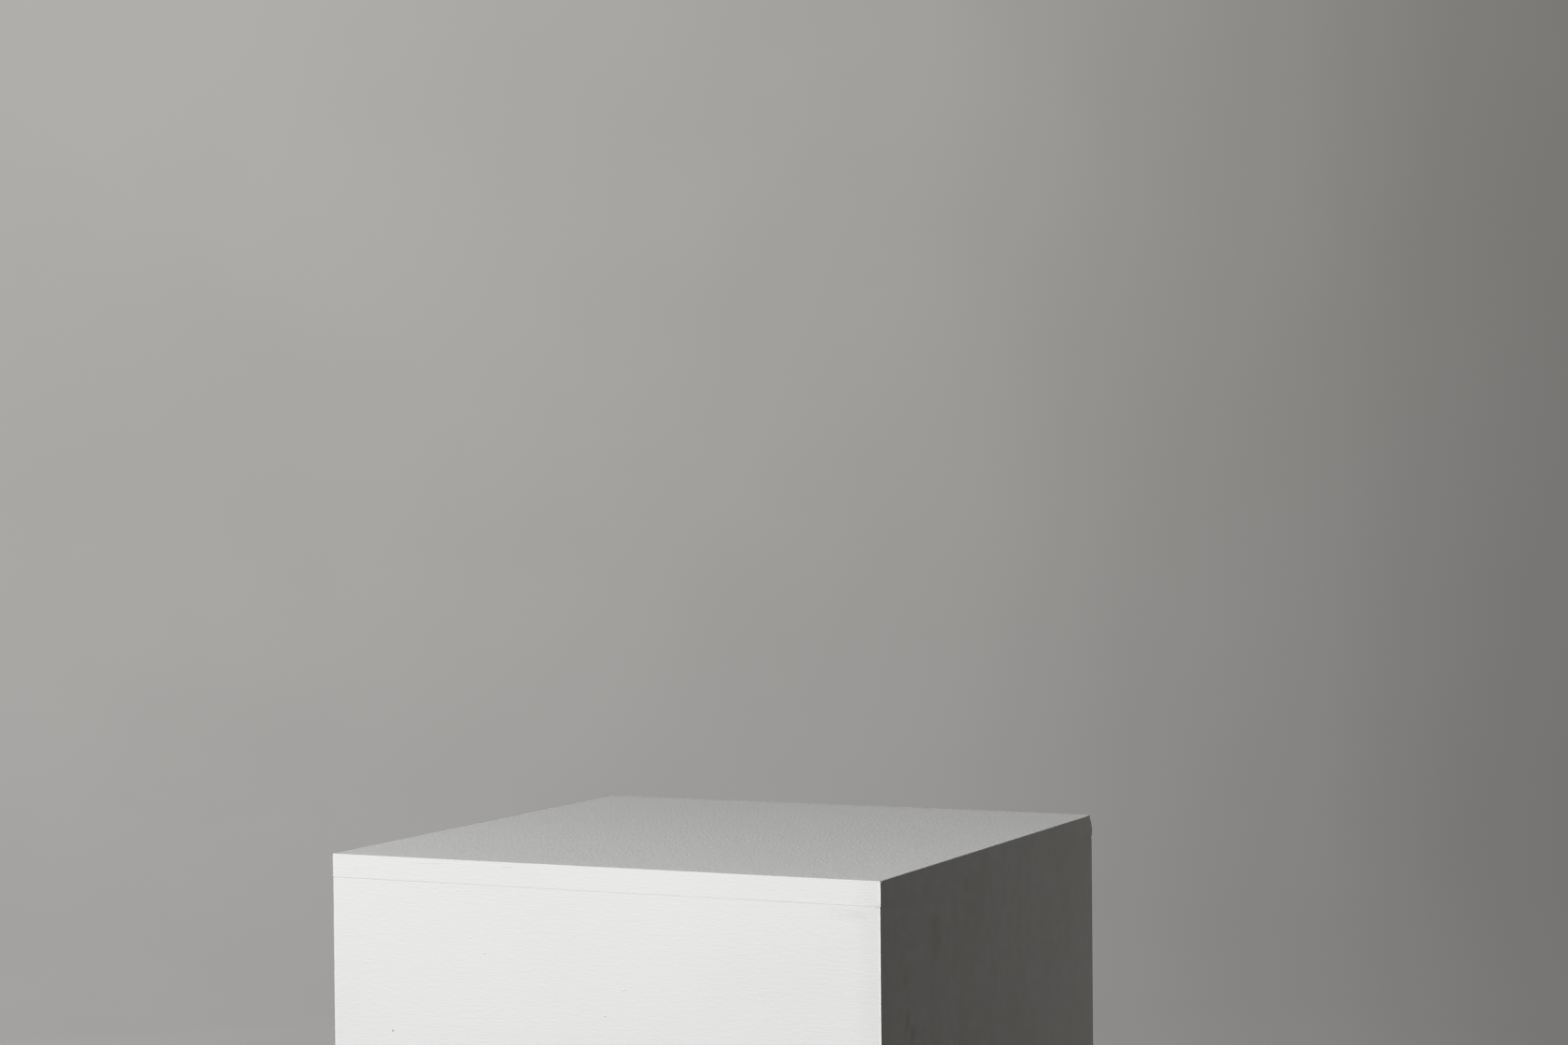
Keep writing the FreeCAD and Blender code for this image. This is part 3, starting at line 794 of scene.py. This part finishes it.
# Wood screw, with heights from the top of its head
SCREW_STEPS = 20
SCREW_HEAD_R = 3.6 * MM
SCREW_SHANK_R = 1.55 * MM
SCREW_CREST_R = 1.92 * MM
SCREW_ROOT_R = 1.3 * MM
SCREW_POINT_R = 0.04 * MM
SCREW_PITCH = 2.2 * MM
SCREW_SPIN = 2.3               # radians from one screw's slots to the next's
THREAD_START = 12 * MM
THREAD_RUN_IN = 1.5 * MM
SCREW_TAPER = 7 * MM
WOOD = [(0.0, 0.0), (0.06, 0.0), (0.16, 0.75), (0.25, 1.0), (0.75, 1.0), (0.88, 0.70)]   # thin sharp flight
# Its cross recess: height, and half the length and width of a slot there
RECESS = ((-1 * MM, 2.4 * MM, 0.55 * MM), (1.6 * MM, 1.2 * MM, 0.32 * MM))


def ring(radius, height, steps):
    """Points once round Z and back to the first. Radius and height may each be one number or many."""
    angles = np.linspace(0, 2 * math.pi, steps + 1)
    radius, height = np.broadcast_to(radius, steps + 1), np.broadcast_to(height, steps + 1)
    return np.stack([radius * np.cos(angles), radius * np.sin(angles), height], -1)


def thread_rows(low, high, pitch, crest, root, outline, limit, steps):
    """Rings that climb as a right-hand thread from low to high. limit gives the most radius at a height."""
    climb = np.linspace(0, pitch, steps + 1)
    rows = []
    for turn in range(-1, math.ceil((high - low) / pitch) + 1):
        for share, depth in outline:
            height = np.clip(low + (turn + share) * pitch + climb, low, high)
            rows.append(ring(np.minimum(crest - depth * (crest - root), limit(height)), height, steps))
    return rows


def hexagon_rows(low, high, flats, steps):
    """A hexagon's rings, with the round chamfers that leave an arc on each flat."""
    angles = np.linspace(0, 2 * math.pi, steps + 1)
    flat_r = flats / 2
    reach = flat_r / np.cos((angles % (math.pi / 3)) - math.pi / 6)
    drop = HEX_CHAMFER * (reach - flat_r) / (flat_r / math.cos(math.pi / 6) - flat_r)
    return [ring(flat_r, low, steps), ring(reach, low + drop, steps), ring(reach, high - drop, steps),
            ring(flat_r, high, steps)]


def spindle(rows):
    """A closed shell through rings, flat at both ends."""
    shell = Shell()
    shell.grid(np.stack(rows), 0)
    shell.face(rows[0][:-1], 0)
    shell.face(rows[-1][:-1], 0)
    return shell


def arc(centre_r, centre_z, size, start, end, steps=5):
    """Outline points of a rounded edge: (radius, height) from one angle to another, in degrees."""
    angles = np.radians(np.linspace(start, end, steps))
    return [(centre_r + size * math.cos(a), centre_z + size * math.sin(a)) for a in angles]


def centre_of(node):
    low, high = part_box(node)
    return (low + high) / 2


def moved_to(shell, at, z):
    bmesh.ops.translate(shell.shape, vec=Vector((at.x, at.y, z)), verts=shell.shape.verts)
    return shell


def stud(corner, material):
    """A levelling stud: the collar that turns in the pad, the hexagon, and a rolled M10 thread."""
    node = "foot_stud_" + corner
    low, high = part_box(node)
    steps = STUD_STEPS
    collar_top, hex_low, hex_high = low.z + COLLAR, low.z + HEX_LOW, low.z + HEX_HIGH
    flats = min(high.x - low.x, high.y - low.y)
    outline = [(COLLAR_R - COLLAR_EASE, low.z), (COLLAR_R, low.z + COLLAR_EASE),
               (COLLAR_R, collar_top - COLLAR_EASE), (COLLAR_R - COLLAR_EASE, collar_top),
               (NECK_R, collar_top), (NECK_R, hex_low)]
    rows = [ring(r, z, steps) for r, z in outline]
    rows += hexagon_rows(hex_low, hex_high, flats, steps)
    clear, full = (hex_high + length for length in STUD_RUN_OUT)

    def limit(z):
        return np.interp(z, [hex_high, clear, full, high.z - STUD_LEAD_IN, high.z],
                         [STUD_CLEAR_R, STUD_CLEAR_R, STUD_THREAD_R, STUD_THREAD_R, STUD_CLEAR_R])
    rows += thread_rows(hex_high, high.z, STUD_PITCH, STUD_THREAD_R, STUD_ROOT_R, METRIC, limit, steps)
    piece = moved_to(spindle(rows), centre_of(node), 0).made("threaded_stud_" + corner, [material])
    stands_for(piece, node, "screw_" + corner)


def pad(corner, material):
    """The pad, moulded with soft edges and a dished shoulder."""
    node = "foot_pad_" + corner
    low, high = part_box(node)
    rim_r, z = high.x - centre_of(node).x, low.z
    socket_low, socket_high = z + SOCKET_LOW, z + SOCKET_HIGH
    outline = [(AXIS_R, z + SOLE_SUNK), (SOLE_R, z + SOLE_SUNK), (SOLE_R, z)]
    outline += arc(rim_r - RIM_LOW_ROUND, z + RIM_LOW_ROUND, RIM_LOW_ROUND, -90, 0)
    outline += arc(rim_r - RIM_HIGH_ROUND, z + RIM_HIGH_AT, RIM_HIGH_ROUND, 0, 60)
    outline += arc(DISH_AT[0], z + DISH_AT[1], DISH_ROUND, -112, -160, 6)
    outline += arc(NECK_ROUND_AT, high.z - NECK_ROUND, NECK_ROUND, 10, 90)
    outline += [(THROAT_LEAD_R, high.z), (THROAT_R, high.z - THROAT_LEAD), (THROAT_R, socket_high),
                (SOCKET_R, socket_high), (SOCKET_R, socket_low), (AXIS_R, socket_low)]
    rows = [ring(r, h, TURNED_STEPS) for r, h in outline]
    piece = moved_to(spindle(rows), centre_of(node), 0).made("moulded_pad_" + corner, [material])
    stands_for(piece, node, "foot_" + corner)


def sole(corner, material):
    """The rubber disc under the pad, ringed with shallow grooves to grip the floor."""
    node = "foot_sole_" + corner
    low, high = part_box(node)
    r = high.x - centre_of(node).x
    bed = low.z + GROOVE
    outline = [(AXIS_R, low.z)]
    for middle in GROOVES:
        outline += [(middle - GROOVE_MOUTH, low.z), (middle - GROOVE_BED, bed),
                    (middle + GROOVE_BED, bed), (middle + GROOVE_MOUTH, low.z)]
    outline += arc(r - SOLE_ROUND, low.z + SOLE_ROUND, SOLE_ROUND, -90, 0)
    outline += [(r, high.z), (AXIS_R, high.z)]
    rows = [ring(x, z, TURNED_STEPS) for x, z in outline]
    piece = moved_to(spindle(rows), centre_of(node), 0).made("grooved_sole_" + corner, [material])
    stands_for(piece, node, "foot_" + corner)


def screw_mesh(length):
    """One countersunk wood screw, its head's top at the origin and its tip up +Z, recessed and threaded."""
    head_r, shank_r = SCREW_HEAD_R, SCREW_SHANK_R
    outline = [(head_r - 0.1 * MM, 0), (head_r, 0.15 * MM), (head_r - 0.12 * MM, 0.33 * MM),
               (shank_r + 0.25 * MM, 2.05 * MM), (shank_r, 2.8 * MM), (shank_r, THREAD_START - 0.5 * MM)]
    rows = [ring(r, z, SCREW_STEPS) for r, z in outline]

    def limit(z):
        return np.interp(z, [THREAD_START, THREAD_START + THREAD_RUN_IN, length - SCREW_TAPER, length],
                         [SCREW_ROOT_R, SCREW_CREST_R, SCREW_CREST_R, SCREW_POINT_R])
    rows += thread_rows(THREAD_START, length, SCREW_PITCH, SCREW_CREST_R, SCREW_ROOT_R, WOOD, limit,
                        SCREW_STEPS)
    screw = spindle(rows).made("screw", [])
    for turn in (0, 90):
        subtract(screw, recess_slot(turn))
    mesh = screw.data
    bpy.data.objects.remove(screw)
    return mesh


def recess_slot(turn):
    """One tapered slot of a screw's cross recess, to cut with."""
    rings = []
    for z, across, wide in RECESS:
        corners = [(-across, -wide, z), (across, -wide, z), (across, wide, z), (-across, wide, z)]
        rings.append(turned(np.array(corners), turn))
    slot = Shell()
    slot.grid(np.stack([np.vstack([corners, corners[:1]]) for corners in rings]), 0)
    slot.face(rings[0], 0)
    slot.face(rings[1], 0)
    return slot.made("slot", [])


def islands(mesh):
    """The vertices of each separate solid in a mesh, as arrays of points."""
    shape = bmesh.new()
    shape.from_mesh(mesh)
    bmesh.ops.remove_doubles(shape, verts=shape.verts, dist=1e-6)
    left, found = set(shape.verts), []
    while left:
        grown, edge_of = set(), [left.pop()]
        while edge_of:
            vert = edge_of.pop()
            grown.add(vert)
            for edge in vert.link_edges:
                other = edge.other_vert(vert)
                if other in left:
                    left.remove(other)
                    edge_of.append(other)
        found.append(np.array(sorted(tuple(vert.co) for vert in grown)))
    shape.free()
    return sorted(found, key=lambda points: tuple(np.round(points.mean(0), 4)))


def screw_place(points):
    """Where one CAD screw's head is and which way it points, as a matrix."""
    low, high = points.min(0), points.max(0)
    axis = int(np.argmax(high - low))
    middle = (low + high) / 2
    at_high = points[points[:, axis] > high[axis] - 0.1 * MM]
    tip_high = np.ptp(at_high, axis=0).max() < 1 * MM
    way = Vector([0.0, 0.0, 0.0])
    way[axis] = 1.0 if tip_high else -1.0
    head = Vector(middle)
    head[axis] = low[axis] if tip_high else high[axis]
    return Matrix.Translation(head) @ way.to_track_quat("Z", "Y").to_matrix().to_4x4()


def screws(node, material):
    """Every screw of one CAD node again, threaded, and each turned by its own chance amount."""
    places = islands(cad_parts[node].data)
    screw = screw_mesh(np.ptp(places[0], axis=0).max())
    joined = bmesh.new()
    for i, points in enumerate(places):
        before = len(joined.verts)
        joined.from_mesh(screw)
        joined.verts.ensure_lookup_table()
        spin = Matrix.Rotation(i * SCREW_SPIN, 4, "Z")
        bmesh.ops.transform(joined, matrix=screw_place(points) @ spin, verts=joined.verts[before:])
    mesh = bpy.data.meshes.new(node)
    joined.to_mesh(mesh)
    joined.free()
    piece = shown("threaded_" + node, mesh, [material])
    stands_for(piece, node, "carcass")


def closed_copy(node):
    """A CAD node's shape as one object with its split edges welded, to cut with. subtract deletes it."""
    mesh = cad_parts[node].data.copy()
    shape = bmesh.new()
    shape.from_mesh(mesh)
    bmesh.ops.remove_doubles(shape, verts=shape.verts, dist=1e-6)
    shape.to_mesh(mesh)
    shape.free()
    copy = bpy.data.objects.new(node + "_cutter", mesh)
    bpy.context.scene.collection.objects.link(copy)
    return copy


def subtract(piece, cutter):
    """Takes the cutter's space out of a piece, and deletes the cutter."""
    change = piece.modifiers.new("holes", "BOOLEAN")
    change.operation, change.object, change.solver = "DIFFERENCE", cutter, "MANIFOLD"
    graph = bpy.context.evaluated_depsgraph_get()
    mesh = bpy.data.meshes.new_from_object(piece.evaluated_get(graph))
    piece.modifiers.clear()
    piece.data = mesh
    mesh.set_sharp_from_angle(angle=math.radians(SHARP))
    bpy.data.objects.remove(cutter)


def cut(piece, nodes):
    """Takes the space that CAD nodes fill out of a piece, as their drilled holes and slots."""
    for node in nodes:
        subtract(piece, closed_copy(node))


def stands_for(piece, node, body):
    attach(piece, body)
    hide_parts(node)


def make_boards():
    materials = [white_paint(), bare_mdf()]
    top = top_panel(materials)
    cut(top, ["top_screws"])
    stands_for(top, "top_panel", "carcass")
    for facing, degrees in FACINGS.items():
        panel = side_panel(facing + "_board", degrees, materials)
        cut(panel, ["post_screws", "rail_screws", "mitre_biscuits"])
        stands_for(panel, facing + "_panel", "carcass")


def make_hardware():
    steel, black, soft = zinc(), nylon(), rubber()
    for corner in CORNERS:
        stud(corner, steel)
        pad(corner, black)
        sole(corner, soft)
    for node in ("top_screws", "base_screws", "rail_screws", "post_screws"):
        screws(node, steel)
    dress("tee_nuts", steel)


def dress(node, material):
    """Gives a CAD node that is shown as it is its material."""
    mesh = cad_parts[node].data
    mesh.materials.clear()
    mesh.materials.append(material)


def make_sticks():
    seed = 1
    for facing, axis in (("front", "X"), ("right", "Y"), ("back", "X"), ("left", "Y")):
        for level in ("top", "base"):
            node = level + "_rail_" + facing
            dress(node, pine("pine_" + node, axis, seed))
            seed += 1
    for corner in CORNERS:
        node = "corner_batten_" + corner
        dress(node, pine("pine_" + node, "Z", seed))
        seed += 1


make_camera()
make_lights()
make_cove()
make_boards()
make_hardware()
make_sticks()
dress("base_board", bpy.data.materials["bare_mdf"])
dress("mitre_biscuits", beech())
bpy.context.scene.view_settings.view_transform = "Standard"
